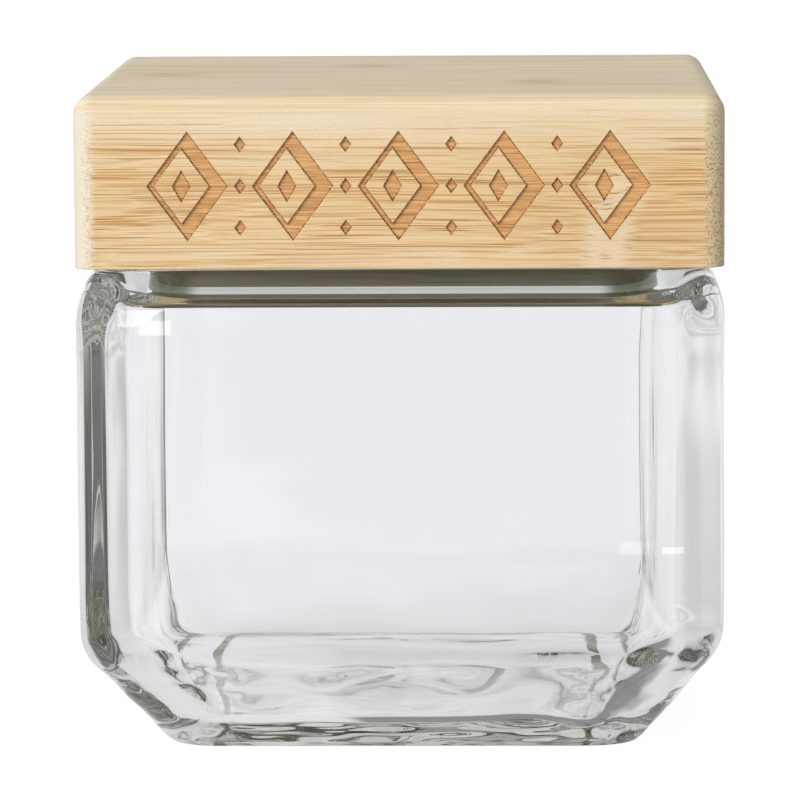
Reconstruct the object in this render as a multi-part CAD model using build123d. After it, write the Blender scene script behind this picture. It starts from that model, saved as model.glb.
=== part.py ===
from build123d import *
import math
import os

# A square glass storage jar with a thick bamboo lid that lifts straight off.
# Millimetres. The origin is the middle of the foot, +Z is up, and the lid's
# engraved side faces -Y.

# Glass, outside
jar_width = 101.0
jar_height = 77.2
jar_corner_radius = 7.0
bevel_inset = 13.3
bevel_rise = 16.75
bevel_top_radius = 8.0
foot_radius = 3.0
shoulder_radius = 14.0
rim_inset = 3.5
rim_edge_radius = 0.7

# Glass, inside
mouth_width = 89.0
mouth_corner_radius = 13.4
mouth_land = 5.4
wall = 4.4
cavity_corner_radius = 10.5
neck_slope_height = 1.0
neck_edge_radius = 0.6
neck_foot_radius = 1.2
floor_thickness = 5.5
bevel_glass = 4.6
floor_radius = 4.0
inner_bevel_radius = 5.0

# Shallow hollow under the foot, which leaves a flat ring to stand on
foot_ring_width = 7.0
push_up_depth = 1.2
push_up_slope = 1.6

# Lid: two layers of bamboo, glued with their dense faces together
lid_width = 100.0
upper_board_height = 11.3
lower_board_height = 15.4
lid_corner_radius = 3.2
lid_edge_radius = 3.0
lid_bottom_chamfer = 0.15

# Locating plug under the lid, and its silicone seal
plug_clearance = 1.0
plug_depth = 6.4
plug_bottom_chamfer = 0.4
seal_drop = 4.3
seal_height = 0.8
groove_depth = 1.8
seal_root_clearance = 0.1
seal_glass_clearance = 0.2
seal_lip_height = 0.6
seal_lip_radius = 0.25

# Engraved border on the front of the lid: a row of lozenges with a heart in
# each, and small lozenges above, between and below
lozenge_count = 5
lozenge_pitch = 16.2
lozenge_width = 12.6
lozenge_height = 17.0
heavy_stroke = 3.0
light_stroke = 1.2
heart_width = 3.0
heart_height = 5.2
bead_width = 1.9
bead_height = 2.6
bead_rise = 6.4
border_drop = 13.9
engraving_depth = 0.5
engraving_draft = 25.0

# Worked out from the sizes above
jar_half = jar_width / 2
shoulder_drop = math.sqrt(shoulder_radius**2 - (shoulder_radius - rim_inset) ** 2)
shoulder_start = jar_height - shoulder_drop
rim_half = jar_half - rim_inset
foot_half = jar_half - bevel_inset
cavity_half = jar_half - wall
land_bottom = jar_height - mouth_land
neck_start = land_bottom - neck_slope_height
glue_line = jar_height + lower_board_height
lid_top = glue_line + upper_board_height

# The inner bevel runs alongside the outer one, one glass thickness in
bevel_angle = math.atan2(bevel_rise, bevel_inset)
inner_bevel_x = foot_half - bevel_glass * math.sin(bevel_angle)
inner_bevel_z = bevel_glass * math.cos(bevel_angle)
floor_half = inner_bevel_x + (floor_thickness - inner_bevel_z) / math.tan(bevel_angle)
inner_bevel_end = inner_bevel_z + (cavity_half - inner_bevel_x) * math.tan(bevel_angle)

# Edges are picked by their height, to within this
level_tolerance = 0.01


def square_body(profile):
    """A body with the same outline from the front and from the side."""
    front = extrude(profile, jar_width, both=True)
    return front & front.rotate(Axis.Z, 90)


def round_corners(body, radius):
    """Round the edges of a square body that run up its four corners."""
    chains = [edge for edge in body.edges() if math.isclose(abs((edge @ 0.5).X), abs((edge @ 0.5).Y))]
    return fillet(chains, radius)


def round_level_edge(body, height, radius):
    """Round the edges of a body that lie flat at a height."""
    low, high = height - level_tolerance, height + level_tolerance
    edges = [
        edge
        for edge in body.edges()
        if edge.bounding_box().min.Z > low and edge.bounding_box().max.Z < high
    ]
    return fillet(edges, radius)


def bevel_corner(sketch, at_x, at_z, radius):
    """Round one corner of a profile, picked by its place."""
    corner = sketch.vertices().sort_by_distance((at_x, at_z))[0]
    return fillet(corner, radius)


def outer_body():
    """The jar's outside: bevelled foot, upright walls and a rounded shoulder."""
    with BuildSketch(Plane.XZ) as profile:
        with BuildLine():
            Polyline((0, 0), (foot_half, 0), (jar_half, bevel_rise), (jar_half, shoulder_start))
            RadiusArc((jar_half, shoulder_start), (rim_half, jar_height), -shoulder_radius)
            Polyline((rim_half, jar_height), (0, jar_height), (0, 0))
        make_face()
        bevel_corner(profile, jar_half, bevel_rise, bevel_top_radius)
        mirror(about=Plane.YZ)
    body = round_corners(square_body(profile.sketch), jar_corner_radius)
    body = round_level_edge(body, 0, foot_radius)
    return round_level_edge(body, jar_height, rim_edge_radius)


def cavity_outline(half_width, height):
    """The cavity's rounded square, at a height."""
    return Pos(0, 0, height) * RectangleRounded(2 * half_width, 2 * half_width, cavity_corner_radius)


def cavity():
    """The space inside the walls, from the floor to the foot of the neck."""
    wall_foot = cavity_outline(cavity_half, inner_bevel_end)
    bevel = loft([cavity_outline(floor_half, floor_thickness), wall_foot], ruled=True)
    body = bevel + extrude(wall_foot, neck_start - inner_bevel_end)
    body = round_level_edge(body, inner_bevel_end, inner_bevel_radius)
    return round_level_edge(body, floor_thickness, floor_radius)


def mouth_outline(gap):
    """The mouth's rounded square, drawn in by a gap all round."""
    return RectangleRounded(mouth_width - 2 * gap, mouth_width - 2 * gap, mouth_corner_radius - gap)


def inside():
    """Everything that is empty in the jar: cavity, sloping neck and mouth."""
    neck_foot = cavity_outline(cavity_half, neck_start)
    neck = loft([neck_foot, Pos(0, 0, land_bottom) * mouth_outline(0)], ruled=True)
    mouth = Pos(0, 0, land_bottom) * extrude(mouth_outline(0), mouth_land)
    body = round_level_edge(cavity() + neck + mouth, neck_start, neck_foot_radius)
    return round_level_edge(body, land_bottom, neck_edge_radius)


def push_up():
    """The shallow hollow under the foot."""
    width = 2 * (foot_half - foot_ring_width)
    top_width = width - 2 * push_up_slope
    low = RectangleRounded(width, width, jar_corner_radius)
    high = RectangleRounded(top_width, top_width, jar_corner_radius - push_up_slope)
    return loft([low, Pos(0, 0, push_up_depth) * high], ruled=True)


def glass_jar():
    return outer_body() - inside() - push_up()


def board(bottom, height):
    """One layer of the lid, with rounded corners."""
    outline = RectangleRounded(lid_width, lid_width, lid_corner_radius)
    return Pos(0, 0, bottom) * extrude(outline, height)


def lozenge(width, height, at_x=0.0, at_z=0.0):
    """A diamond on the lid's front, drawn in the plane of that face."""
    corners = [(width / 2, 0), (0, height / 2), (-width / 2, 0), (0, -height / 2)]
    return Pos(at_x, at_z) * make_face(Polyline(*corners, close=True))


def border_motif(at_x):
    """One lozenge with a light left side, a heavy right side and a heart."""
    inner_width = lozenge_width - light_stroke - heavy_stroke
    inner_height = lozenge_height * inner_width / lozenge_width
    inner_x = at_x + (light_stroke - heavy_stroke) / 2
    frame = lozenge(lozenge_width, lozenge_height, at_x) - lozenge(inner_width, inner_height, inner_x)
    return [frame, lozenge(heart_width, heart_height, inner_x)]


def engraving():
    """The cutters of the engraved border, with slightly sloped sides."""
    first_x = -(lozenge_count - 1) / 2 * lozenge_pitch
    outlines = []
    for number in range(lozenge_count):
        outlines += border_motif(first_x + number * lozenge_pitch)
    for number in range(lozenge_count - 1):
        between_x = first_x + (number + 0.5) * lozenge_pitch
        for rise in (-bead_rise, 0, bead_rise):
            outlines.append(lozenge(bead_width, bead_height, between_x, rise))
    front = Plane((0, -lid_width / 2, lid_top - border_drop), x_dir=(1, 0, 0), z_dir=(0, -1, 0))
    return [
        extrude(front * outline, -engraving_depth, taper=engraving_draft) for outline in outlines
    ]


def lid_upper_board():
    body = board(glue_line, upper_board_height)
    return round_level_edge(body, lid_top, lid_edge_radius) - engraving()


def lid_lower_board():
    body = board(jar_height, lower_board_height)
    body = chamfer(body.faces().sort_by(Axis.Z)[0].edges(), lid_bottom_chamfer)
    return body - engraving()


def lid_plug():
    """The board glued under the lid, with the seal's groove round it."""
    body = Pos(0, 0, jar_height - plug_depth) * extrude(mouth_outline(plug_clearance), plug_depth)
    body = chamfer(body.faces().sort_by(Axis.Z)[0].edges(), plug_bottom_chamfer)
    groove = mouth_outline(0) - mouth_outline(plug_clearance + groove_depth)
    return body - Pos(0, 0, jar_height - seal_drop - seal_height) * extrude(groove, seal_height)


def seal_ring():
    """A flat root in the groove and a rounded lip that meets the glass."""
    bottom = jar_height - seal_drop - seal_height
    root_gap = plug_clearance + groove_depth - seal_root_clearance
    root = mouth_outline(plug_clearance) - mouth_outline(root_gap)
    lip = mouth_outline(seal_glass_clearance) - mouth_outline(root_gap)
    lip_body = extrude(lip, seal_lip_height)
    for face in (lip_body.faces().sort_by(Axis.Z)[0], lip_body.faces().sort_by(Axis.Z)[-1]):
        lip_body = fillet(lip_body.edges() & face.outer_wire().edges(), seal_lip_radius)
    lip_bottom = bottom + (seal_height - seal_lip_height) / 2
    return Pos(0, 0, bottom) * extrude(root, seal_height) + Pos(0, 0, lip_bottom) * lip_body


pieces = {
    "glass_jar": glass_jar(),
    "lid_lower_board": lid_lower_board(),
    "lid_upper_board": lid_upper_board(),
    "lid_plug": lid_plug(),
    "seal_ring": seal_ring(),
}

os.makedirs("parts", exist_ok=True)
for name, piece in pieces.items():
    export_step(piece, f"parts/{name}.step")
    print(name, "volume", round(piece.volume), "mm3")
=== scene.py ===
# %% [markdown]
# # A square glass storage jar with a bamboo lid
# The jar is thick moulded glass with a bevelled foot. The lid is a block of laminated
# bamboo with a border engraved on its front, and a plug with a silicone seal that sits in
# the jar's mouth. The measured solids come from the frame. This script dresses them: the
# lid's pieces keep their measured meshes and get bamboo, and the jar gets a finer mesh of
# its own, because real glass is never quite flat and that is what makes it look like glass.

# %% Load the measured frame
import math
import bpy
from mathutils import Matrix, Vector, noise


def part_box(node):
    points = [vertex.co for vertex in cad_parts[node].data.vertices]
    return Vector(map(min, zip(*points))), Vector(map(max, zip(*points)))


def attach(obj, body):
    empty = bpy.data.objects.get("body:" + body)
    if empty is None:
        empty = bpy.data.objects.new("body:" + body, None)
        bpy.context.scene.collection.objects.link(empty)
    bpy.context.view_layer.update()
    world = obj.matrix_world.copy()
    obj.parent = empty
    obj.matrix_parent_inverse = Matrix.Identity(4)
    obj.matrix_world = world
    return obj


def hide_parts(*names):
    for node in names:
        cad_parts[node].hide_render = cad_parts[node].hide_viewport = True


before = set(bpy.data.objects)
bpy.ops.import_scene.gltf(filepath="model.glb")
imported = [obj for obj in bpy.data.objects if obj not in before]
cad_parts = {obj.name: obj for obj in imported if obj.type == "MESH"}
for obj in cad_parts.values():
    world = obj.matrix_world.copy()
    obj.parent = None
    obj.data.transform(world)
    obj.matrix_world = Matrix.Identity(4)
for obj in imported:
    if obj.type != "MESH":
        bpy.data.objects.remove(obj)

MM = 0.001
scene = bpy.context.scene
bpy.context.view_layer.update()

# %% [markdown]
# ## Camera
# The photograph is a long-lens product shot from a little above the lid. A long lens keeps
# upright edges upright, and the small tilt shows a sliver of the lid's top. The camera's
# place and its three small turns were worked out from the lid's edges and the jar's sides.

# %% Camera
camera_place = Vector((18.25, -834.7, 158.5)) * MM
turned_left, tilted_down, rolled = 0.0232, 0.1287, -0.0058
lens_mm = 231.4

camera_data = bpy.data.cameras.new("camera")
camera_data.lens = lens_mm
camera_data.clip_end = 50
camera = bpy.data.objects.new("camera", camera_data)
camera.matrix_world = (
    Matrix.Translation(camera_place)
    @ Matrix.Rotation(turned_left, 4, "Z")
    @ Matrix.Rotation(math.pi / 2 - tilted_down, 4, "X")
    @ Matrix.Rotation(rolled, 4, "Z")
)
scene.collection.objects.link(camera)
scene.camera = camera
scene.view_settings.view_transform = "Standard"
print("camera stands", round(camera_place.length, 3), "m from the middle of the foot")

# %% [markdown]
# ## Small helpers for materials
# A material is a tree of nodes. These helpers keep each line of a tree short: one adds a
# node, one joins or sets a socket, and the others are the sums, ranges and colour mixes
# that every finish here uses.

# %% Node helpers
def add(tree, kind, **settings):
    """A new node of a kind, with its settings."""
    node = tree.nodes.new(kind)
    for name, value in settings.items():
        setattr(node, name, value)
    return node


def feed(tree, target, source):
    """Join a socket to an input, or write a plain value there."""
    if isinstance(source, bpy.types.NodeSocket):
        tree.links.new(source, target)
    else:
        target.default_value = source


def maths(tree, operation, first, second=0.0, clamp=False):
    """One sum on numbers."""
    node = add(tree, "ShaderNodeMath", operation=operation, use_clamp=clamp)
    feed(tree, node.inputs[0], first)
    feed(tree, node.inputs[1], second)
    return node.outputs[0]


def product(tree, *factors):
    """All the factors multiplied."""
    result = factors[0]
    for factor in factors[1:]:
        result = maths(tree, "MULTIPLY", result, factor)
    return result


def fade(tree, value, start, end, low=0.0, high=1.0):
    """A smooth step: low where value is start, high where it is end."""
    node = add(tree, "ShaderNodeMapRange", interpolation_type="SMOOTHSTEP", clamp=True)
    for socket, source in zip(node.inputs[:5], (value, start, end, low, high)):
        feed(tree, socket, source)
    return node.outputs[0]


def mix_colours(tree, share, first, second):
    """The first colour where share is 0 and the second where it is 1."""
    node = add(tree, "ShaderNodeMix", data_type="RGBA", clamp_factor=True)
    feed(tree, node.inputs["Factor"], share)
    feed(tree, node.inputs[6], first)
    feed(tree, node.inputs[7], second)
    return node.outputs[2]


def vector_maths(tree, operation, first, second):
    """One sum on vectors."""
    node = add(tree, "ShaderNodeVectorMath", operation=operation)
    feed(tree, node.inputs[0], first)
    feed(tree, node.inputs[1], second)
    return node.outputs[0]


def place_in_mm(tree):
    """A point's place in the measured frame, in millimetres."""
    in_metres = add(tree, "ShaderNodeTexCoord").outputs["Object"]
    return vector_maths(tree, "MULTIPLY", in_metres, (1 / MM,) * 3)


def split(tree, vector):
    """The three parts of a vector."""
    node = add(tree, "ShaderNodeSeparateXYZ")
    feed(tree, node.inputs[0], vector)
    return node.outputs


def cloud(tree, vector, stretch, detail=2.0, roughness=0.5):
    """Soft noise from 0 to 1, with its own scale along each axis."""
    node = add(tree, "ShaderNodeTexNoise")
    feed(tree, node.inputs["Vector"], vector_maths(tree, "MULTIPLY", vector, stretch))
    node.inputs["Scale"].default_value = 1.0
    node.inputs["Detail"].default_value = detail
    node.inputs["Roughness"].default_value = roughness
    return node.outputs[0]


print("node helpers ready")

# %% [markdown]
# A pattern that several finishes share goes into a node group, which is a tree with sockets of
# its own. It is built once and placed in each material with other values. Colours are written
# as they read on a screen, and turned into the straight numbers that shaders work with.

# %% Groups, materials and colours
number, shade, place = "NodeSocketFloat", "NodeSocketColor", "NodeSocketVector"


def new_group(name, inputs, outputs):
    """An empty node group: its tree, its input sockets and its output node."""
    group = bpy.data.node_groups.new(name, "ShaderNodeTree")
    for label, (kind, value) in inputs.items():
        socket = group.interface.new_socket(label, in_out="INPUT", socket_type=kind)
        socket.default_value = value
    for label, kind in outputs.items():
        group.interface.new_socket(label, in_out="OUTPUT", socket_type=kind)
    return group, group.nodes.new("NodeGroupInput").outputs, group.nodes.new("NodeGroupOutput").inputs


def use_group(tree, group, **values):
    """A group placed in a material with its own values; underscores stand for spaces."""
    node = add(tree, "ShaderNodeGroup", node_tree=group)
    for name, value in values.items():
        feed(tree, node.inputs[name.replace("_", " ").capitalize()], value)
    return node.outputs


def new_material(name):
    """A new node material: its tree, its Principled shader and the material."""
    material = bpy.data.materials.new(name)
    material.use_nodes = True
    tree = material.node_tree
    return material, tree, tree.nodes["Principled BSDF"]


def colour(red, green, blue):
    """A colour as it reads on a screen, 0 to 255, as the numbers that a shader wants."""
    def straight(part):
        # The curve of the sRGB standard
        part = part / 255
        return part / 12.92 if part <= 0.04045 else ((part + 0.055) / 1.055) ** 2.4
    return (straight(red), straight(green), straight(blue), 1.0)


print("group helpers ready")

# %% [markdown]
# ## Bamboo
# Bamboo is a grass. Its stem is pale pith full of hard brown fibre bundles that run the
# length of the stem, packed close near the skin and further apart inside. Sawn along the
# stem it shows long thin streaks, and sawn across it shows dots. One solid pattern, drawn
# out a long way along X, gives both: streaks on the front and top, dots on the ends. Where
# it is packed close is set by a level, so each layer of the lid has its skin side at the
# glue line, as in the photograph. A growth node of the stem, where the fibres swerve and
# break up, crosses the lower layer towards the right.

# %% Bamboo grain, shared by every bamboo piece
node_level, node_lean, far_off = 85.0, 0.25, 500.0

grain, given, result = new_group(
    "bamboo grain",
    {
        "Skin level": (number, 92.6),
        "Fade depth": (number, 14.0),
        "Packing": (number, 0.6),
        "Shift": (number, 0.0),
        "Node place": (number, far_off),
        "Warmth": (number, 1.0),
        "Half length": (number, 50.0),
    },
    {"Color": shade, "Streaks": number, "Height": number},
)
at = place_in_mm(grain)
along = split(grain, at)
shift = add(grain, "ShaderNodeCombineXYZ")
feed(grain, shift.inputs[0], given["Shift"])
moved = vector_maths(grain, "ADD", at, shift.outputs[0])

# At a growth node the fibres swerve, break up and turn pale
ragged = cloud(grain, at, (0.12, 0.3, 0.55))
lean = product(grain, maths(grain, "SUBTRACT", along[2], node_level), node_lean)
leaning = maths(grain, "ADD", given["Node place"], lean)
from_node = maths(grain, "ABSOLUTE", maths(grain, "SUBTRACT", along[0], leaning))
from_node = maths(grain, "ADD", from_node, product(grain, maths(grain, "SUBTRACT", ragged, 0.5), 6.0))
at_node = fade(grain, from_node, 5.5, 1.5)
beside_node = product(grain, fade(grain, from_node, 20.0, 5.0), fade(grain, from_node, 2.0, 5.0))

wander_y = maths(grain, "SUBTRACT", cloud(grain, moved, (0.03, 0.07, 0.07)), 0.5)
wander_z = maths(grain, "SUBTRACT", cloud(grain, moved, (0.021, 0.05, 0.09)), 0.5)
swerve = product(grain, maths(grain, "SUBTRACT", cloud(grain, at, (0.25, 0.3, 0.3)), 0.5), at_node, 1.6)
wander = add(grain, "ShaderNodeCombineXYZ")
feed(grain, wander.inputs[1], product(grain, wander_y, 1.6))
feed(grain, wander.inputs[2], maths(grain, "ADD", product(grain, wander_z, 1.2), swerve))
drifted = vector_maths(grain, "ADD", moved, wander.outputs[0])

depth_from_skin = maths(grain, "ABSOLUTE", maths(grain, "SUBTRACT", along[2], given["Skin level"]))
packed = maths(grain, "SUBTRACT", 1.0, maths(grain, "DIVIDE", depth_from_skin, given["Fade depth"]))
patchy = maths(grain, "SUBTRACT", cloud(grain, moved, (0.02, 0.1, 0.22)), 0.5)
packed = maths(grain, "ADD", packed, product(grain, patchy, 0.9), clamp=True)
print("growth node leans", node_lean, "mm per mm")

# %% [markdown]
# Voronoi noise cuts space into cells, each with a middle and random numbers of its own. Cells
# drawn out along the stem are fibre bundles. The distance to the middle draws the bundle, and
# the random numbers say whether it shows and how boldly. Three kinds lie over each other: bold
# ones, thinner and longer ones between them, and short pieces where the growth node is.

# %% Fibre bundles
fibre_pitch = 0.30
fibre_length = 42.0


def bundles(tree, spacing, length, offset):
    """Fibre bundles: how far a point is from its nearest one, and that one's own random numbers."""
    cells = add(tree, "ShaderNodeTexVoronoi", feature="F1")
    stretched = vector_maths(tree, "MULTIPLY", drifted, (1 / length, 1 / spacing, 1 / spacing))
    feed(tree, cells.inputs["Vector"], vector_maths(tree, "ADD", stretched, (offset,) * 3))
    cells.inputs["Scale"].default_value = 1.0
    return cells.outputs["Distance"], split(tree, cells.outputs["Color"])


distance, own = bundles(grain, fibre_pitch, fibre_length, 0.0)
crowd = maths(grain, "ADD", product(grain, packed, given["Packing"]), product(grain, beside_node, 0.3))
kept = fade(grain, maths(grain, "SUBTRACT", own[0], crowd), 0.10, -0.02)
bold = product(grain, fade(grain, distance, 0.54, 0.24), kept, fade(grain, own[1], 0.0, 1.0, 0.5, 1.0))
thin_distance, thin_own = bundles(grain, fibre_pitch * 0.6, fibre_length * 1.6, 7.3)
thin = product(grain, fade(grain, thin_distance, 0.58, 0.26), fade(grain, thin_own[0], 0.2, 0.9))
thin = product(grain, thin, fade(grain, packed, 0.0, 0.8, 0.25, 0.65))
short_distance, short_own = bundles(grain, fibre_pitch * 1.3, 3.5, 3.1)
short = product(grain, fade(grain, short_distance, 0.5, 0.2), fade(grain, short_own[0], 0.4, 0.7), at_node)
off_node = fade(grain, at_node, 0.0, 1.0, 1.0, 0.25)
by_packing = fade(grain, packed, 0.0, 0.7, 0.45, 1.0)
long_streaks = product(grain, maths(grain, "MAXIMUM", bold, thin), off_node, by_packing)
streaks = maths(grain, "MAXIMUM", long_streaks, short)
print("fibre bundles", fibre_pitch, "mm apart and", fibre_length, "mm long")

# %% [markdown]
# The pith between the bundles is pale, and warmer where they are packed. Broad patches and a
# silk of very fine fibres make it uneven, as plant matter is, and small pores run through it.

# %% Pith between the bundles
pith = colour(248, 233, 205)
dense_pith = colour(245, 218, 168)
warm_patch = colour(236, 190, 124)
fibre_brown = colour(212, 156, 82)
fibre_dark = colour(174, 112, 48)

silk = cloud(grain, drifted, (0.012, 4.5, 4.5), detail=4.0, roughness=0.7)
tone = cloud(grain, moved, (0.012, 0.16, 0.3))
ground = mix_colours(grain, packed, pith, dense_pith)
toned = product(grain, fade(grain, tone, 0.35, 0.75, 0.0, 0.4), given["Warmth"])
ground = mix_colours(grain, toned, ground, warm_patch)
silkiest = fade(grain, packed, 0.0, 0.8, 0.25, 0.75)
silky = product(grain, fade(grain, silk, 0.40, 0.66), silkiest, given["Warmth"])
ground = mix_colours(grain, silky, ground, warm_patch)
ground = mix_colours(grain, product(grain, at_node, 0.45), ground, pith)
pores = fade(grain, cloud(grain, drifted, (1.3, 7.0, 7.0), detail=1.0), 0.45, 0.75, 0.0, 0.30)
ground = mix_colours(grain, pores, ground, warm_patch)
fibre = mix_colours(grain, own[2], fibre_brown, fibre_dark)
coloured = mix_colours(grain, streaks, ground, fibre)
print("bamboo grain has", len(grain.nodes), "nodes so far")

# %% [markdown]
# Sawn across, the stem is paler, and its bundles show only as small dots. The saw tore the
# fibres a little at both ends of the lid, so the change from streaks to dots is ragged. The
# left end is painted paler than the right one, painted light on the left and painted shade on
# the right, for the light comes from the left. On the flat ends each bundle is cut square
# across, so there it shows as a clear brown dot.

# %% Sawn ends
# Painted light on the left end and painted shade on the right one
lit_left_end_pith, lit_left_end_dot = colour(241, 232, 213), colour(220, 190, 144)
shaded_right_end_pith, shaded_right_end_dot = colour(231, 213, 172), colour(166, 122, 68)
flat_end_pith, flat_end_dot = colour(233, 207, 162), colour(160, 110, 62)
end_dot_pitch = 0.8

facing = split(grain, add(grain, "ShaderNodeNewGeometry").outputs["Normal"])
from_end = maths(grain, "SUBTRACT", given["Half length"], maths(grain, "ABSOLUTE", along[0]))
torn = maths(grain, "SUBTRACT", cloud(grain, at, (0.5, 2.6, 2.6)), 0.5)
near_end = fade(grain, maths(grain, "ADD", from_end, product(grain, torn, 3.2)), 3.6, 2.2)
facing_end = maths(grain, "ABSOLUTE", facing[0])
sawn_across = maths(grain, "MAXIMUM", near_end, fade(grain, facing_end, 0.15, 0.45))
speckle = fade(grain, cloud(grain, at, (2.6, 3.6, 3.6), detail=1.0), 0.50, 0.62)
right_end = fade(grain, along[0], -20.0, 20.0)
dotted = maths(grain, "MAXIMUM", fade(grain, from_end, 1.0, 2.2, 0.35, 1.0), right_end)
speckle = product(grain, speckle, fade(grain, packed, 0.0, 0.8, 0.35, 0.8), dotted)
# Painted light on the left end, painted shade on the right
pale_end = mix_colours(grain, right_end, lit_left_end_pith, shaded_right_end_pith)
dark_end = mix_colours(grain, right_end, lit_left_end_dot, shaded_right_end_dot)
end_grain = mix_colours(grain, speckle, pale_end, dark_end)
flat_end = fade(grain, facing_end, 0.93, 0.99)
end_grain = mix_colours(grain, product(grain, flat_end, 0.7), end_grain, flat_end_pith)
dot_distance, dot_own = bundles(grain, end_dot_pitch, fibre_length, 11.9)
dots = product(grain, fade(grain, dot_distance, 0.46, 0.20), fade(grain, dot_own[0], 0.1, 0.6))
dots = product(grain, dots, flat_end, fade(grain, packed, 0.0, 0.8, 0.35, 0.9))
end_grain = mix_colours(grain, dots, end_grain, flat_end_dot)
coloured = mix_colours(grain, product(grain, sawn_across, 0.9), coloured, end_grain)
feed(grain, result["Color"], coloured)
feed(grain, result["Streaks"], streaks)
feed(grain, result["Height"], maths(grain, "ADD", streaks, product(grain, silk, 0.5)))
print("bamboo grain has", len(grain.nodes), "nodes")

# %% [markdown]
# The upper layer was sawn so that three growth rings of the stem were only just grazed. They
# show on the lid's top as faint brown smudges with ragged ends. The top is painted a paler,
# yellower pith than the front shows, a painted tint that evens out the bluer light falling on
# it. The sander ran along the grain at a low angle, which draws the fibres out into wide,
# faint streaks.

# %% Growth marks on the top
growth_places = [(-38.1, -1.3), (-6.2, 19.4), (21.8, -22.0)]
mark_reach_x, mark_reach_y = 7.0, 8.0
mark_brown = colour(190, 152, 98)
# The first colour is a painted tint for the top's light; the second draws the sanding streaks
painted_top_pith, sanded_fibre = colour(248, 233, 196), colour(230, 194, 134)
plain_wood = (0.8, 0.6, 0.4, 1.0)

marks, given, result = new_group("growth marks", {"Color": (shade, plain_wood)}, {"Color": shade})
at = place_in_mm(marks)
ragged = maths(marks, "SUBTRACT", cloud(marks, at, (0.12, 0.8, 0.8), detail=3.0), 0.5)
rough_edge = product(marks, ragged, 2.4)
darkest = 0.0
for x, y in growth_places:
    offset = vector_maths(marks, "SUBTRACT", at, (x, y, 0))
    offset = vector_maths(marks, "MULTIPLY", offset, (1 / mark_reach_x, 1 / mark_reach_y, 0))
    reach = add(marks, "ShaderNodeVectorMath", operation="LENGTH")
    feed(marks, reach.inputs[0], offset)
    smudge = fade(marks, maths(marks, "ADD", reach.outputs["Value"], rough_edge), 1.1, 0.0)
    darkest = maths(marks, "MAXIMUM", darkest, smudge)
level = split(marks, at)[2]
# Painted light on the top: mixed towards a paler, yellower pith
painted_top_share = fade(marks, level, 101.5, 103.5, 0.0, 0.5)
painted_top_colour = mix_colours(marks, painted_top_share, given["Color"], painted_top_pith)
fine = cloud(marks, at, (0.012, 0.5, 2.6), detail=5.0, roughness=0.7)
fine_streaks = product(marks, fade(marks, fine, 0.46, 0.63, 0.0, 0.7), fade(marks, level, 100.0, 102.0))
streaked = mix_colours(marks, fine_streaks, painted_top_colour, sanded_fibre)
smudged = mix_colours(marks, product(marks, darkest, 0.42), streaked, mark_brown)
feed(marks, result["Color"], smudged)
print("growth marks:", len(growth_places))

# %% [markdown]
# ## The burnt engraving
# The border is cut half a millimetre deep by a laser, which browns the wood it leaves. The
# cut is real geometry. Its colour only needs to know how deep a point lies behind the
# front face, and whether it is on the sloping side of the cut, where the burn is darkest.

# %% Burnt engraving, shared by both layers of the lid
front_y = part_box("lid_upper_board")[0].y / MM
deepest_cut, border_half = 0.8, 44.0
border_low, border_high = 79.5, 100.0
scorch_pale, scorch_brown = colour(242, 192, 130), colour(214, 158, 98)
burnt_fibre, charred = colour(160, 102, 54), colour(112, 64, 30)

burnt, given, result = new_group(
    "burnt engraving",
    {"Color": (shade, plain_wood), "Streaks": (number, 0.0)},
    {"Color": shade},
)
at = place_in_mm(burnt)
across = split(burnt, at)
cut_depth = maths(burnt, "SUBTRACT", across[1], front_y)
inside_x = maths(burnt, "LESS_THAN", maths(burnt, "ABSOLUTE", across[0]), border_half)
behind = maths(burnt, "LESS_THAN", cut_depth, deepest_cut)
low_enough = maths(burnt, "LESS_THAN", across[2], border_high)
high_enough = maths(burnt, "GREATER_THAN", across[2], border_low)
field = product(burnt, inside_x, behind, low_enough, high_enough)
cut = product(burnt, fade(burnt, cut_depth, 0.02, 0.12), field)
facing = split(burnt, add(burnt, "ShaderNodeNewGeometry").outputs["Normal"])
slope = fade(burnt, maths(burnt, "ABSOLUTE", facing[1]), 0.97, 0.85)
char_dots = fade(burnt, cloud(burnt, at, (2.8, 2.8, 2.8), detail=1.0), 0.42, 0.58, 0.1, 0.9)
raster = fade(burnt, cloud(burnt, at, (0.25, 1.0, 5.5), detail=3.0), 0.35, 0.65)
scorch = mix_colours(burnt, raster, scorch_pale, scorch_brown)
scorch = mix_colours(burnt, product(burnt, given["Streaks"], 0.7), scorch, burnt_fibre)
scorch = mix_colours(burnt, product(burnt, slope, char_dots), scorch, charred)
feed(burnt, result["Color"], mix_colours(burnt, cut, given["Color"], scorch))
print("front face at y =", round(front_y, 2), "mm")

# %% [markdown]
# Sanded bamboo has no varnish. It is dull, and a finger can feel its fibres, so the same
# pattern that colours it raises it a little. The two layers of the lid share the pattern, with
# other numbers for its packing and warmth. Only the upper one has the growth marks, and only
# the lower one the growth node. The plug is seen through thick glass, which takes away light
# and warmth, most of all where the glass turns a corner. So the plug's wood is mixed with
# painted shade: grey, and a darker grey-green at its corners.

# %% Bamboo materials
# Painted shade for the plug, a darker grey-green at its corners
plug_painted_shade, plug_corner_painted_shade = colour(140, 143, 127), colour(98, 108, 86)


def round_corner(tree, at, start=30.5, full=34.0):
    """1 round the four corners and 0 on the straight sides between them."""
    across = split(tree, at)
    off_x, off_y = maths(tree, "ABSOLUTE", across[0]), maths(tree, "ABSOLUTE", across[1])
    return fade(tree, maths(tree, "MINIMUM", off_x, off_y), start, full)


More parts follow.
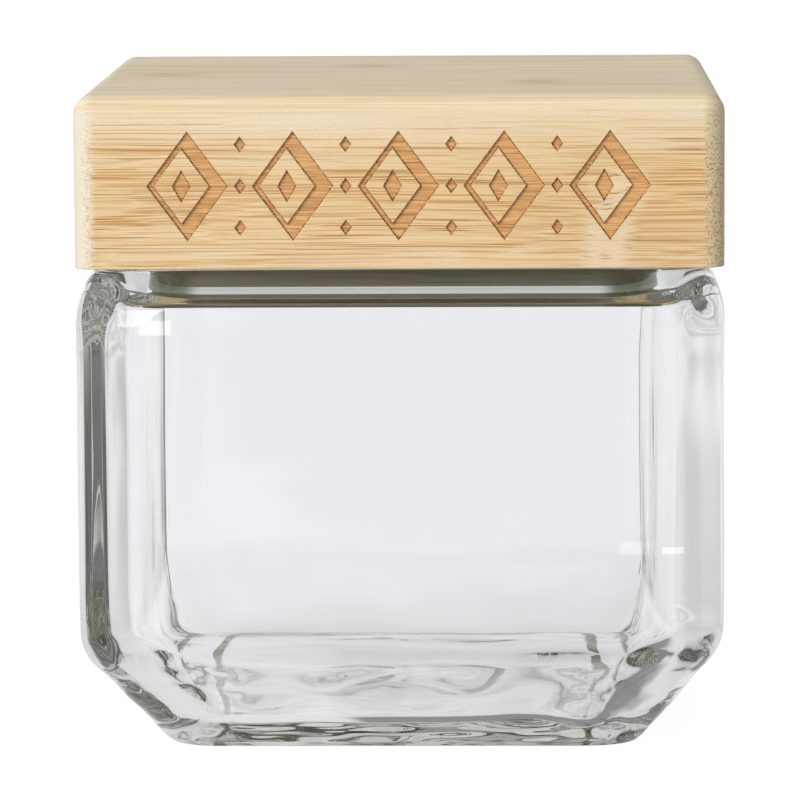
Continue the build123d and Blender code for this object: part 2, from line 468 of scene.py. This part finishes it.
def bamboo(name, marked_top=False, engraved=False, painted_shade=0.0, **grain_values):
    """Sanded bamboo with no varnish: dull, with a faint relief along the fibres."""
    material, tree, shader = new_material(name)
    wood = use_group(tree, grain, **grain_values)
    face = wood["Color"]
    # Painted shade: the wood is mixed with grey, darker grey-green at the corners
    if painted_shade:
        at_corner = round_corner(tree, place_in_mm(tree))
        painted_shade_colour = mix_colours(tree, at_corner, plug_painted_shade, plug_corner_painted_shade)
        face = mix_colours(tree, painted_shade, face, painted_shade_colour)
    if marked_top:
        face = use_group(tree, marks, color=face)["Color"]
    if engraved:
        face = use_group(tree, burnt, color=face, streaks=wood["Streaks"])["Color"]
    feed(tree, shader.inputs["Base Color"], face)
    feed(tree, shader.inputs["Roughness"], fade(tree, wood["Streaks"], 0.0, 1.0, 0.58, 0.46))
    shader.inputs["Specular IOR Level"].default_value = 0.35
    shader.inputs["Sheen Weight"].default_value = 0.08
    shader.inputs["Sheen Roughness"].default_value = 0.35
    relief = add(tree, "ShaderNodeBump")
    relief.inputs["Strength"].default_value = 0.25
    relief.inputs["Distance"].default_value = 0.05 * MM
    feed(tree, relief.inputs["Height"], wood["Height"])
    feed(tree, shader.inputs["Normal"], relief.outputs["Normal"])
    return material


def finish_node(name, material):
    """Give a measured piece its material."""
    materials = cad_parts[name].data.materials
    materials.clear()
    materials.append(material)


glue_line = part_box("lid_upper_board")[0].z / MM
plug_top = round(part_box("lid_plug")[1].z / MM, 1)
upper = dict(skin_level=glue_line, fade_depth=9.0, packing=0.36, shift=0.0, warmth=0.45)
lower = dict(skin_level=glue_line - 4.0, fade_depth=24.0, packing=1.0, shift=61.0, warmth=0.9)
plug = dict(skin_level=plug_top, fade_depth=16.0, packing=0.7, shift=133.0, half_length=43.5)
finish_node("lid_upper_board", bamboo("bamboo upper layer", marked_top=True, engraved=True, **upper))
finish_node("lid_lower_board", bamboo("bamboo lower layer", engraved=True, node_place=33.0, **lower))
# The plug's wood gets painted shade mixed in
finish_node("lid_plug", bamboo("bamboo plug", painted_shade=0.75, **plug))
print("glue line at z =", round(glue_line, 1), "mm")

# %% [markdown]
# ## Silicone seal
# Clear silicone looks milky in a thin ring: light goes in, scatters and comes out again.
# Subsurface scattering does that. A faint emission adds painted light, as if the glass gathered
# light into the ring. Round the corners, where the ring is stretched thin and clear, its colour is
# painted shade: the dull grey-green of the shaded plug behind it.

# %% Silicone seal
milk_pale, milk_dull = colour(232, 234, 232), colour(214, 217, 215)
corner_painted_shade = colour(132, 136, 122)
# Painted light: a glow, and a fainter one at the corners
painted_glow, corner_painted_glow = (0.34, 0.35, 0.37, 1), (0.08, 0.09, 0.07, 1)

silicone, tree, shader = new_material("clear silicone")
at = place_in_mm(tree)
at_corner = round_corner(tree, at)
haze = cloud(tree, at, (0.4, 0.4, 0.9))
milky = mix_colours(tree, haze, milk_pale, milk_dull)
# Round the corners the colour is painted shade
feed(tree, shader.inputs["Base Color"], mix_colours(tree, at_corner, milky, corner_painted_shade))
feed(tree, shader.inputs["Roughness"], fade(tree, haze, 0.2, 0.8, 0.28, 0.42))
# The emission is painted light, fainter at the corners
feed(tree, shader.inputs["Emission Color"], mix_colours(tree, at_corner, painted_glow, corner_painted_glow))
shader.inputs["Emission Strength"].default_value = 1.0
shader.inputs["Subsurface Weight"].default_value = 0.5
shader.inputs["Subsurface Radius"].default_value = (1.0, 1.0, 1.0)
shader.inputs["Subsurface Scale"].default_value = 1.2 * MM
finish_node("seal_ring", silicone)

# %% [markdown]
# ## The jar's shape
# Moulded glass has a crisp outside, where it touched the steel mould, and a soft, wavy
# inside, where only air pushed it. So the jar is made as one closed skin of square loops
# with round corners: up the outside, over the rim and down the inside. Each stop on the way
# is a corner of the profile with its own rounding, and arcs fill in the rest. Seen from above,
# the outside corners aren't quarter circles: each side first bends slowly and then turns
# tightly, and the two corners on the left are tighter than the two on the right.

# %% Jar profile
jar_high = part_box("glass_jar")[1] / MM
wave_room = 0.04
bevel_inset, bevel_rise = 13.3, 16.75
foot_ring_width, hollow_slope, hollow_depth = 7.0, 1.6, 1.2
shoulder_radius, rim_inset = 14.0, 3.5
mouth_half, mouth_land, neck_drop = 44.5, 5.4, 6.4
wall, floor_height = 4.4, 5.5
floor_half, inner_bevel_end = 35.7, 18.6

jar_half = jar_high.x
rim_height = jar_high.z - wave_room
foot_half = jar_half - bevel_inset
hollow_half = foot_half - foot_ring_width
rim_half = jar_half - rim_inset
shoulder_turn = math.acos(1 - rim_inset / shoulder_radius)
shoulder_tip = rim_height - shoulder_radius * (math.sin(shoulder_turn) - math.tan(shoulder_turn / 2))
land_bottom, neck_start = jar_high.z - mouth_land, jar_high.z - neck_drop
cavity_half = jar_half - wall

# Corners seen from above, rear right, rear left, front left and front right: the tight radius
# at the corner, and the wider one that leads into it
right_corner, left_corner = (7.0, 45.0), (5.0, 27.0)
outside = (right_corner, left_corner, left_corner, right_corner)
underside, cavity, mouth = ((7.0, 7.0),) * 4, ((10.5, 10.5),) * 4, ((13.4, 13.4),) * 4

# Each stop: half width, height, rounding of the profile, corner seen from above
profile_stops = [
    (0.0, hollow_depth, 0.0, underside),
    (hollow_half - hollow_slope, hollow_depth, 1.5, underside),
    (hollow_half, 0.0, 0.8, underside),
    (foot_half, 0.0, 3.0, underside),
    (jar_half, bevel_rise, 8.0, outside),
    (jar_half, shoulder_tip, shoulder_radius, outside),
    (rim_half, rim_height, 0.7, outside),
    (mouth_half, rim_height, 0.6, mouth),
    (mouth_half, land_bottom, 0.6, mouth),
    (cavity_half, neck_start, 1.2, cavity),
    (cavity_half, inner_bevel_end, 5.0, cavity),
    (floor_half, floor_height, 4.0, cavity),
    (0.0, floor_height, 0.0, cavity),
]
print("profile has", len(profile_stops), "stops")

# %% [markdown]
# A rounded corner is an arc that touches both straight runs. Its middle lies on the line
# that halves the angle, and it starts and ends one tangent length from the corner.

# %% Walk along the profile
arc_step = math.radians(5)
straight_step = 1.1
nearly_straight = math.radians(89.5)


def arc_points(before, corner, after):
    """Points of the arc that rounds one stop of the profile, each with the shape of its four corners."""
    here, radius, shape = Vector(corner[:2]), corner[2], corner[3]
    inward, outward = (Vector(before[:2]) - here).normalized(), (Vector(after[:2]) - here).normalized()
    half_angle = inward.angle(outward) / 2
    if radius == 0 or half_angle > nearly_straight:
        return [(here.x, here.y, shape)]
    middle = here + (inward + outward).normalized() * radius / math.sin(half_angle)
    start = here + inward * radius / math.tan(half_angle) - middle
    turn = math.pi - 2 * half_angle
    side = 1 if inward.cross(outward) < 0 else -1
    steps = max(3, round(turn / arc_step))
    points = []
    for step in range(steps + 1):
        swung = start.copy()
        swung.rotate(Matrix.Rotation(side * turn * step / steps, 2))
        points.append((middle.x + swung.x, middle.y + swung.y, shape))
    return points


def blend(first, second, share):
    """Two tuples of numbers mixed: the first where share is 0, the second where it is 1."""
    return tuple(a + (b - a) * share for a, b in zip(first, second))


def blend_corners(first, second, share):
    """Two sets of four corners mixed."""
    return tuple(blend(a, b, share) for a, b in zip(first, second))


def run_to(start, end):
    """The points between two ends of a straight run, without the ends."""
    length = math.dist(start[:2], end[:2])
    steps = max(1, round(length / straight_step))
    shares = [step / steps for step in range(1, steps)]
    return [
        (*blend(start[:2], end[:2], share), blend_corners(start[2], end[2], share))
        for share in shares
    ]


def walk(stops):
    """The whole profile as close points, with straight runs divided evenly."""
    points = [(*stops[0][:2], stops[0][3])]
    for before, corner, after in zip(stops, stops[1:], stops[2:]):
        arc = arc_points(before, corner, after)
        points += run_to(points[-1], arc[0]) + arc
    last = (*stops[-1][:2], stops[-1][3])
    return points + run_to(points[-1], last) + [last]


profile = walk(profile_stops)
print("profile walked in", len(profile), "points")

# %% [markdown]
# Every point of the profile becomes one level loop round the jar. The loop walks along a side,
# turns the corner in three arcs, wide, tight and wide, and goes on to the next side. All loops
# have the same number of points, so that they can be joined straight up and down.

# %% One level loop of the skin
side_steps, lead_steps, tight_steps = 40, 5, 14
lead_angle = math.radians(10)
most_corner = 0.9


def corner_path(tight, lead):
    """The corner from one side to the next: a wide arc, a tight one and a wide one again."""
    arcs = [(lead, lead_angle, lead_steps), (tight, math.pi / 2 - 2 * lead_angle, tight_steps)]
    arcs.append(arcs[0])
    path, heading = [Vector((0, 0))], 0.0
    for radius, turn, steps in arcs:
        for step in range(steps):
            heading += turn / steps / 2
            stride = radius * 2 * math.sin(turn / steps / 2)
            path.append(path[-1] + stride * Vector((-math.sin(heading), math.cos(heading))))
            heading += turn / steps / 2
    return path


def square_loop(half, height, corners):
    """One level loop of the skin. On a small loop the corners shrink, to leave some straight side."""
    paths = [corner_path(*corner) for corner in corners]
    shrink = min(1.0, half * most_corner / max(path[-1].y for path in paths))
    loop = []
    for quarter, path in enumerate(paths):
        turn = Matrix.Rotation(math.pi / 2 * quarter, 2)
        first = -half + paths[quarter - 1][-1].y * shrink
        last = half - path[-1].y * shrink
        for step in range(side_steps):
            loop.append(turn @ Vector((half, first + (last - first) * step / side_steps)))
        loop += [turn @ (Vector((half, last)) + point * shrink) for point in path[:-1]]
    return [Vector((point.x, point.y, height)) for point in loop]


print("points in a loop:", len(square_loop(*profile[1])))

# %% [markdown]
# The loops are joined with four-sided faces, and a fan of triangles closes the middle of the
# foot and of the floor. That makes one closed skin, which light needs so that it can tell
# where the glass starts and where it ends.

# %% Build the jar's skin
def build_skin(name):
    """The closed skin of the jar, as a mesh in metres."""
    loops = [square_loop(*stop) for stop in profile[1:-1]]
    count = len(loops[0])
    points = [point * MM for loop in loops for point in loop]
    faces = []
    for ring in range(len(loops) - 1):
        for step in range(count):
            a, b = ring * count + step, ring * count + (step + 1) % count
            faces.append((a, b, b + count, a + count))
    for ring, height, flip in ((0, profile[0][1], True), (len(loops) - 1, profile[-1][1], False)):
        points.append(Vector((0, 0, height)) * MM)
        for step in range(count):
            a, b = ring * count + step, ring * count + (step + 1) % count
            faces.append((b, a, len(points) - 1) if flip else (a, b, len(points) - 1))
    mesh = bpy.data.meshes.new(name)
    mesh.from_pydata(points, [], faces)
    mesh.update()
    mesh.shade_smooth()
    return mesh, count


jar_mesh, loop_count = build_skin("glass_jar_skin")
print("jar skin:", len(jar_mesh.vertices), "points,", len(jar_mesh.polygons), "faces")

# %% [markdown]
# The inside skin wobbles: shallow waves down the walls, deeper ones where the thick glass
# pooled at the foot, and a few dents and swellings that bend the light most. Smooth noise
# moves each point along the skin's own direction. The outside gets a much fainter version of
# the same thing. The slope under the mouth is filled out a little on the left and the right.

# %% Waves in the glass
def waves(point, size, seed):
    """Smooth noise from about -1 to 1, with waves of a size in mm and a seed that picks the pattern."""
    scaled = Vector((point.x / size[0], point.y / size[1], point.z / size[2]))
    return noise.noise(scaled + Vector((seed,) * 3))


# Dents and swellings of the thick bottom: place and reach in mm, and how far in the glass swells
pools = [
    ((20.0, -37.0, 7.5), 6.5, 1.5),
    ((28.0, -36.0, 6.0), 5.0, -1.0),
    ((-24.0, 30.0, 8.0), 9.0, 0.9),
    ((8.0, 4.0, 5.5), 10.0, 0.8),
    ((-4.0, -8.0, 5.5), 9.0, -0.6),
    ((36.0, 30.0, 12.0), 7.0, 1.3),
    ((-37.0, -30.0, 12.0), 6.0, 1.2),
    ((-38.0, 22.0, 13.0), 7.0, -0.8),
    ((38.0, -12.0, 12.0), 8.0, 0.9),
]
pooled_height, calm_under_lid, flat_foot = 22.0, 8.0, 0.3


def ramp(value, start, reach):
    """0 up to start, 1 from a reach further on, and even in between."""
    return max(0.0, min(1.0, (value - start) / reach))


def outside_move(point, near_corner, below_lid):
    """How far a point of the outside moves, always inward: faint waves, and ripples low down."""
    faint = 0.05 * (waves(point, (26, 26, 34), 3.1) - 1) * below_lid
    low = ramp(-point.z, -24.0, 10.0) * (0.5 + 0.5 * min(1.0, point.z / 4.0))
    return faint + 0.16 * low * (0.4 + near_corner) * (waves(point, (7, 7, 6), 8.8) - 1)


def inside_move(point, near_corner, below_lid):
    """How far a point of the inside moves: long waves up the walls, and pools near the floor."""
    walls = 0.35 * waves(point, (24, 24, 60), 11.7) + 0.12 * waves(point, (9, 9, 30), 5.2)
    pooled = 0.6 * waves(point, (17, 17, 14), 29.4) + 0.25 * waves(point, (8, 8, 7), 2.6)
    pooled += 0.5 * near_corner * waves(point, (6, 6, 5), 41.3)
    for middle, reach, swelling in pools:
        pooled += swelling * math.exp(-((point - Vector(middle)).length / reach) ** 2)
    near_floor = max(0.0, 1 - max(0.0, point.z - floor_height) / pooled_height)
    beside = ramp(abs(point.x) - abs(point.y), 0.0, 6.0)
    filled = 0.95 * beside * math.exp(-((point.z - neck_start + 0.6) / 1.7) ** 2)
    return (walls * (1 - near_floor) + pooled * near_floor) * below_lid + filled


def wobble(point, on_inside):
    """How far, in millimetres, a point of the skin is moved along its normal."""
    below_lid = ramp(land_bottom - point.z, 0.0, calm_under_lid)
    near_corner = max(0.0, (min(abs(point.x), abs(point.y)) - 20.0) / 16.0)
    move = inside_move if on_inside else outside_move
    return move(point, near_corner, below_lid)


rim_index = max(range(len(profile)), key=lambda index: (profile[index][1], -profile[index][0]))
normals = [vertex.normal.copy() for vertex in jar_mesh.vertices]
largest = 0.0
for index, vertex in enumerate(jar_mesh.vertices):
    on_inside = index // loop_count >= rim_index or index == len(jar_mesh.vertices) - 1
    move = wobble(vertex.co / MM, on_inside)
    if not on_inside and vertex.co.z < flat_foot * MM:
        move = 0.0
    largest = max(largest, abs(move))
    vertex.co += normals[index] * move * MM
jar_mesh.update()
print("largest wave in the glass:", round(largest, 2), "mm")

# %% [markdown]
# ## Glass
# Ordinary jar glass bends light by 1.52 and is faintly green where it is thick, so the walls
# look clear face-on and grey-green edge-on. The tint is real absorption inside the glass.
# Lamps have to reach what is behind the glass, so shadow rays pass straight through, fewer of
# them at the thick curved shoulder, which throws most light aside and leaves the plug in shade.

# %% Clear glass
glass, tree, shader = new_material("clear glass")
shader.inputs["Base Color"].default_value = (1, 1, 1, 1)
shader.inputs["Transmission Weight"].default_value = 1.0
shader.inputs["Roughness"].default_value = 0.0
shader.inputs["IOR"].default_value = 1.52
path = add(tree, "ShaderNodeLightPath")
at = place_in_mm(tree)
height = split(tree, at)[2]

# Shadow rays pass straight through
clear_shade, shoulder_shade = (0.86, 0.88, 0.87, 1), (0.45, 0.45, 0.44, 1)
passing = add(tree, "ShaderNodeBsdfTransparent")
shoulder = fade(tree, height, neck_start - 6.0, neck_start + 1.0)
feed(tree, passing.inputs["Color"], mix_colours(tree, shoulder, clear_shade, shoulder_shade))
either = add(tree, "ShaderNodeMixShader")
feed(tree, either.inputs["Fac"], path.outputs["Is Shadow Ray"])
feed(tree, either.inputs[1], shader.outputs["BSDF"])
feed(tree, either.inputs[2], passing.outputs["BSDF"])

# The faint green of thick glass
output = tree.nodes["Material Output"]
tint = add(tree, "ShaderNodeVolumeAbsorption")
tint.inputs["Color"].default_value = (0.64, 0.67, 0.61, 1.0)
tint.inputs["Density"].default_value = 14.0
feed(tree, output.inputs["Volume"], tint.outputs["Volume"])
print("glass bends light by", round(shader.inputs["IOR"].default_value, 2))

# %% [markdown]
# At the corners of the neck and the foot the mould left the glass slightly rumpled. A soft bump
# bends the light there, too gently to show in the outline. It only has to look uneven, so it is
# made from two soft clouds in the material, not from more faces.

# %% Soft ripples at the corners of the neck and the foot
neck_rumple, foot_rumple = 0.12, 0.32
foot_calm, foot_full = 21.0, 13.0

uneven = cloud(tree, at, (0.15, 0.15, 0.28), detail=0.0)
at_corner = round_corner(tree, at)
at_neck = product(tree, fade(tree, height, neck_start - 1.0, neck_start + 3.0), at_corner)
soft_ripples = product(tree, maths(tree, "SUBTRACT", uneven, 0.5), at_neck, neck_rumple)
crumpled = maths(tree, "SUBTRACT", cloud(tree, at, (0.18, 0.18, 0.22), detail=1.0), 0.5)
at_foot = product(tree, fade(tree, height, foot_calm, foot_full), round_corner(tree, at, 22.0, 29.0))
ripple = add(tree, "ShaderNodeBump")
ripple.inputs["Strength"].default_value = 1.0
ripple.inputs["Distance"].default_value = 1.0 * MM
rippled = maths(tree, "ADD", soft_ripples, product(tree, crumpled, at_foot, foot_rumple))
feed(tree, ripple.inputs["Height"], rippled)
feed(tree, shader.inputs["Normal"], ripple.outputs["Normal"])
print("ripples start", round(neck_start - 1.0, 1), "mm up")

# %% [markdown]
# Some light goes round inside the walls and never gets out. Where such a path ends, the glass
# glows with painted light of a dull grey: in long streaks down the walls, lighter towards their
# top, and mottled grey-green in the neck. It ends after fifteen turns, and after four at the
# shoulder's corners, which keeps them soft.

# %% Light that never gets out
most_turns, fewer_at_shoulder = 15.5, 11.0
pale_from, pale_full = 38.0, 66.0
neck_dark, neck_pale = (0.22, 0.228, 0.18, 1), (0.50, 0.508, 0.45, 1)
streak_dark, streak_pale, wall_top = (0.11, 0.11, 0.11, 1), (0.26, 0.26, 0.26, 1), (0.72, 0.71, 0.73, 1)

painted_neck_glow = mix_colours(tree, fade(tree, uneven, 0.35, 0.65), neck_dark, neck_pale)
streaky = fade(tree, cloud(tree, at, (0.5, 0.5, 0.03)), 0.35, 0.65)
painted_wall_glow = mix_colours(tree, streaky, streak_dark, streak_pale)
near_top = fade(tree, height, pale_from, pale_full, 0.0, 0.8)
painted_wall_glow = mix_colours(tree, near_top, painted_wall_glow, wall_top)
# An emission: painted light where a path ends inside the glass
painted_end_glow = add(tree, "ShaderNodeEmission")
in_neck = fade(tree, height, neck_start - 4.0, neck_start)
feed(tree, painted_end_glow.inputs["Color"], mix_colours(tree, in_neck, painted_wall_glow, painted_neck_glow))
ended = add(tree, "ShaderNodeMixShader")
at_shoulder = product(tree, fade(tree, height, neck_start - 9.0, neck_start - 4.0), at_corner)
last_turn = maths(tree, "SUBTRACT", most_turns, product(tree, at_shoulder, fewer_at_shoulder))
feed(tree, ended.inputs["Fac"], maths(tree, "GREATER_THAN", path.outputs["Ray Depth"], last_turn))
feed(tree, ended.inputs[1], either.outputs["Shader"])
feed(tree, ended.inputs[2], painted_end_glow.outputs["Emission"])
feed(tree, output.inputs["Surface"], ended.outputs["Shader"])
glass.cycles.emission_sampling = "NONE"
print("glass has", len(tree.nodes), "nodes")

# %% [markdown]
# The finished skin takes the place of the measured jar, which stays hidden underneath it, and
# moves with the jar's body.

# %% Put the jar's skin in its place
jar = bpy.data.objects.new("glass_jar_skin", jar_mesh)
scene.collection.objects.link(jar)
jar_mesh.materials.append(glass)
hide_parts("glass_jar")
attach(jar, "jar")
print("jar skin rides on the jar body")

# %% [markdown]
# ## Studio
# Glass shows only what is round it, so the studio is part of the material. Straight through
# the jar there is the white backdrop. Light that has been turned round inside the thick
# walls comes from the sides: a wide white screen on the left, a smaller one on the right, a
# dark gap between that one and the backdrop, and the dim side where the camera stands. One
# group says how bright each direction is, and the room and the table both use it. Light that
# has been turned more than twice no longer finds the right screen, which keeps the thick
# right corner from glaring.

# %% Screens round the table
black, screen_white = (0, 0, 0, 1), (0.985, 0.99, 1.0, 1)
dim_side = 0.28
soft_edge = 5
studio, given, result = new_group(
    "studio surroundings",
    {"Direction": (place, (0, 1, 0)), "Turned often": (number, 0.0)},
    {"Color": shade},
)
level_direction = vector_maths(studio, "MULTIPLY", given["Direction"], (1, 1, 0))
level_direction = vector_maths(studio, "NORMALIZE", level_direction, (0, 0, 0))


def screen(turned, half_width, brightness):
    """How bright a direction is because of one screen: full inside its width, with soft edges."""
    angle = math.radians(turned)
    facing = add(studio, "ShaderNodeVectorMath", operation="DOT_PRODUCT")
    feed(studio, facing.inputs[0], level_direction)
    feed(studio, facing.inputs[1], (math.sin(angle), math.cos(angle), 0))
    wide, narrow = (math.cos(math.radians(half_width + edge)) for edge in (soft_edge, -soft_edge))
    return fade(studio, facing.outputs["Value"], wide, narrow, 0.0, brightness)


turned_seldom = maths(studio, "SUBTRACT", 1.0, given["Turned often"])
# Screens are turned by degrees, from straight behind the jar towards its right
backdrop = screen(turned=0, half_width=24, brightness=1.0)
left_screen = screen(turned=-95, half_width=73, brightness=0.8)
right_screen = screen(turned=75, half_width=50, brightness=0.86)
right_screen = product(studio, right_screen, turned_seldom)
level = maths(studio, "MAXIMUM", backdrop, left_screen)
level = maths(studio, "MAXIMUM", level, right_screen)
level = maths(studio, "MAXIMUM", level, dim_side)
upward = split(studio, given["Direction"])[2]
level = product(studio, level, fade(studio, upward, 0.25, 0.8, 1.0, 0.45))
uneven = cloud(studio, given["Direction"], (3.0, 3.0, 5.0), detail=1.0)
level = product(studio, level, fade(studio, uneven, 0.3, 0.7, 0.75, 1.1))
feed(studio, result["Color"], mix_colours(studio, level, black, screen_white))
print("studio surroundings have", len(studio.nodes), "nodes")

# %% [markdown]
# What a ray should see depends on its way so far, and the Light Path node counts that. A ray
# from the camera, straight or through the glass, sees plain white. One that the glass has
# mirrored sees the screens. One that a matt surface sends out finds an even, softer light.

# %% What each kind of ray sees
kept_behind_glass = 0.6


def by_ray(tree, direction, seen, seen_in_glass, scattered):
    """A white for rays that go straight, the screens for turned rays, and a light for matt surfaces."""
    rays = add(tree, "ShaderNodeLightPath").outputs
    turned_often = maths(tree, "GREATER_THAN", rays["Glossy Depth"], 2.5)
    screens = use_group(tree, studio, direction=direction, turned_often=turned_often)["Color"]
    turned = maths(tree, "GREATER_THAN", rays["Glossy Depth"], 0.5)
    from_matt = maths(tree, "GREATER_THAN", rays["Diffuse Depth"], 0.5)
    through_glass = maths(tree, "GREATER_THAN", rays["Transmission Depth"], 0.5)
    behind_glass = tuple(kept_behind_glass * part for part in scattered[:3]) + (1,)
    shaded = mix_colours(tree, through_glass, scattered, behind_glass)
    straight = mix_colours(tree, through_glass, seen, seen_in_glass)
    return mix_colours(tree, from_matt, mix_colours(tree, turned, straight, screens), shaded)


print("behind glass, matt surfaces keep", kept_behind_glass, "of the light")

# %% [markdown]
# The room is white straight behind the jar. Matt surfaces get a softer light from it, weaker
# from the right, so that the lid's right end falls into shade, and weaker still behind glass.

# %% Room
room_white, room_in_glass, room_on_matt = (1, 1, 1, 1), (0.985, 0.985, 1.035, 1), (0.60, 0.60, 0.62, 1)

world = bpy.data.worlds.new("studio")
scene.world = world
world.use_nodes = True
tree = world.node_tree
all_round = add(tree, "ShaderNodeTexCoord").outputs["Generated"]
to_the_right = split(tree, all_round)[0]
sky = by_ray(tree, all_round, room_white, room_in_glass, room_on_matt)
feed(tree, tree.nodes["Background"].inputs["Color"], sky)
from_matt = maths(tree, "GREATER_THAN", add(tree, "ShaderNodeLightPath").outputs["Diffuse Depth"], 0.5)
dimming = product(tree, from_matt, fade(tree, to_the_right, -0.9, 0.9, 0.0, 0.6))
feed(tree, tree.nodes["Background"].inputs["Strength"], maths(tree, "SUBTRACT", 1.0, dimming))
print("room set, with", len(tree.nodes), "nodes")

# %% [markdown]
# The table top is matt paper, so the jar's soft shadow falls on it, and it glows a little so
# that it reads as white. Rays that a mirror bounce has turned see the screens instead, for
# in a studio the paper is not much wider than the picture. Seen through the glass, the paper
# close round the foot has a painted shadow: its glow is a little darker there, because the jar
# stands in its light.

# %% Table
table_half = 12.0
paper_grey = (0.34, 0.34, 0.345, 1)
paper_white, paper_on_matt = (0.87, 0.87, 0.87, 1), (0.25, 0.25, 0.255, 1)
paper_in_glass, paper_painted_shadow = (0.81, 0.815, 0.85, 1), (0.40, 0.39, 0.38, 1)
shade_start, shade_end, deepest_shade = 30 * MM, 130 * MM, 0.28

table_mesh = bpy.data.meshes.new("table_top")
corners = [(-1, -1), (1, -1), (1, 1), (-1, 1)]
table_mesh.from_pydata([(x * table_half, y * table_half, 0.0) for x, y in corners], [], [(0, 1, 2, 3)])
table = bpy.data.objects.new("table_top", table_mesh)
scene.collection.objects.link(table)
paper, tree, shader = new_material("pale table")
from_jar = add(tree, "ShaderNodeTexCoord").outputs["Object"]
turned = maths(tree, "GREATER_THAN", add(tree, "ShaderNodeLightPath").outputs["Glossy Depth"], 0.5)
feed(tree, shader.inputs["Base Color"], mix_colours(tree, turned, paper_grey, black))
reach = add(tree, "ShaderNodeVectorMath", operation="LENGTH")
feed(tree, reach.inputs[0], from_jar)
# Painted shadow: seen through the glass, the paper's glow is darker close round the foot
painted_shadow_share = fade(tree, reach.outputs["Value"], shade_start, shade_end, deepest_shade, 0.0)
through = mix_colours(tree, painted_shadow_share, paper_in_glass, paper_painted_shadow)
paper_light = by_ray(tree, from_jar, paper_white, through, paper_on_matt)
feed(tree, shader.inputs["Emission Color"], paper_light)
shader.inputs["Emission Strength"].default_value = 1.0
shader.inputs["Roughness"].default_value = 1.0
shader.inputs["Specular IOR Level"].default_value = 0.0
table_mesh.materials.append(paper)
print("table", 2 * table_half, "m wide")

# %% [markdown]
# A large softbox on the left gives the lid its light, and a weak one on the right keeps the
# shade open. Neither is mirrored in the glass, because in the studio the screens stand in
# front of them. What the glass does mirror are four small bright cards: two overlapping ones
# make the stepped highlight on the left shoulder, and two strips make the short white lines
# low down on the right.

# %% Lamps
def softbox(name, spot, aim, width, height, power, mirrored=True):
    """A rectangular soft lamp, in metres and watts, which the glass mirrors or doesn't."""
    data = bpy.data.lights.new(name, "AREA")
    data.shape = "RECTANGLE"
    data.size, data.size_y, data.energy = width, height, power
    lamp = bpy.data.objects.new(name, data)
    lamp.location = spot
    lamp.rotation_euler = (Vector(aim) - Vector(spot)).to_track_quat("-Z", "Y").to_euler()
    lamp.visible_camera = False
    lamp.visible_transmission = False
    lamp.visible_glossy = mirrored
    scene.collection.objects.link(lamp)


jar_middle, left_shoulder = (0, 0, 0.06), (-0.039, -0.05, 0.067)
low_right, low_right_edge = (0.0366, -0.05, 0.0336), (0.0425, -0.05, 0.0321)
softbox("key_softbox", (-1.5, -2.0, 1.35), jar_middle, 0.9, 0.9, 40.0, mirrored=False)
softbox("fill_softbox", (1.9, -1.6, 0.9), jar_middle, 0.6, 0.9, 1.0, mirrored=False)
softbox("tall_catchlight", (-0.0940, -0.400, 0.1275), left_shoulder, 0.062, 0.135, 0.107)
softbox("short_catchlight", (-0.0634, -0.400, 0.06325), left_shoulder, 0.0092, 0.0735, 0.0084)
softbox("right_catchlight", (0.0465, -0.200, 0.0097), low_right, 0.0200, 0.0022, 0.00028)
softbox("edge_catchlight", (0.088, -0.200, 0.0079), low_right_edge, 0.031, 0.0012, 0.0005)

# %% [markdown]
# Light in thick glass bounces from skin to skin many times before it gets out. With few
# bounces allowed, those paths end in black, so the scene allows more of them.

# %% Bounces that thick glass needs
scene.cycles.glossy_bounces = 16
scene.cycles.transmission_bounces = 24
scene.cycles.max_bounces = 32
print("at most", scene.cycles.max_bounces, "bounces")
